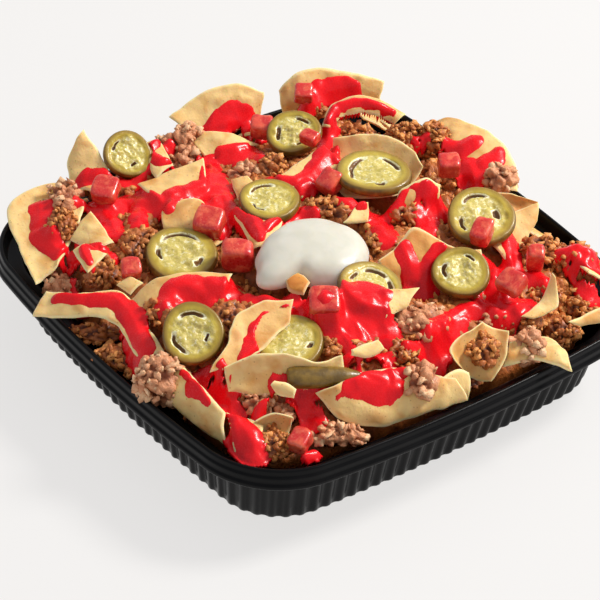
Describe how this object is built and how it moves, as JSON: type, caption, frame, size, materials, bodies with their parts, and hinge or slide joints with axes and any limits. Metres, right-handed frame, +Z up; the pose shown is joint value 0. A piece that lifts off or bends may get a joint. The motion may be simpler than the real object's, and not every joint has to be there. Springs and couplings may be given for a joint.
{
  "type": "loaded nachos in a tray",
  "caption": "Square black ribbed tray heaped with corn chips, seasoned mince and beans, red sauce, tomato dice, pickled pepper slices and a spoon of soured cream.",
  "frame": {"origin": "centre of the tray's flat underside", "axes": "+Z up; X and Y along the tray's sides, with the camera of the main view towards +X -Y"},
  "size_m": [0.2214, 0.2224, 0.0678],
  "materials": {
    "tray_plastic": "black moulded plastic, semi-gloss",
    "mince_and_beans": "rough moist brown mince with paler mashed beans",
    "corn_chip": "dry fried corn chip, pale yellow with browned patches",
    "pickled_pepper": "wet olive-green pickled pepper",
    "tomato": "wet red tomato flesh",
    "soured_cream": "smooth white cream, soft sheen"
  },
  "bodies": {
    "root": {"chip_back": "corn_chip", "chip_back_left": "corn_chip", "chip_back_left_low": "corn_chip", "chip_back_right": "corn_chip", "chip_back_sauced": "corn_chip", "chip_boat": "corn_chip", "chip_bowl_back": "corn_chip", "chip_bowl_front": "corn_chip", "chip_bright_fold": "corn_chip", "chip_centre_left": "corn_chip", "chip_curled": "corn_chip", "chip_flap": "corn_chip", "chip_fold_back": "corn_chip", "chip_fold_front": "corn_chip", "chip_front": "corn_chip", "chip_front_curl": "corn_chip", "chip_front_drip": "corn_chip", "chip_front_left": "corn_chip", "chip_left_arch": "corn_chip", "chip_left_corner": "corn_chip", "chip_left_curl": "corn_chip", "chip_left_point": "corn_chip", "chip_left_strip": "corn_chip", "chip_ridge": "corn_chip", "chip_right_edge": "corn_chip", "chip_right_tip": "corn_chip", "chip_sliver": "corn_chip", "chip_strip_centre": "corn_chip", "chip_tent": "corn_chip", "chip_under_centre": "corn_chip", "chip_upper_left": "corn_chip", "chip_wavy": "corn_chip", "heap": "mince_and_beans", "pepper_end": "pickled_pepper", "pepper_slice_01": "pickled_pepper", "pepper_slice_02": "pickled_pepper", "pepper_slice_03": "pickled_pepper", "pepper_slice_04": "pickled_pepper", "pepper_slice_05": "pickled_pepper", "pepper_slice_06": "pickled_pepper", "pepper_slice_07": "pickled_pepper", "pepper_slice_08": "pickled_pepper", "pepper_slice_09": "pickled_pepper", "pepper_slice_10": "pickled_pepper", "soured_cream": "soured_cream", "tomato_01": "tomato", "tomato_02": "tomato", "tomato_03": "tomato", "tomato_04": "tomato", "tomato_05": "tomato", "tomato_06": "tomato", "tomato_07": "tomato", "tomato_08": "tomato", "tomato_09": "tomato", "tomato_10": "tomato", "tomato_11": "tomato", "tomato_12": "tomato", "tomato_13": "tomato", "tomato_14": "tomato", "tray": "tray_plastic"}
  },
  "joints": []
}
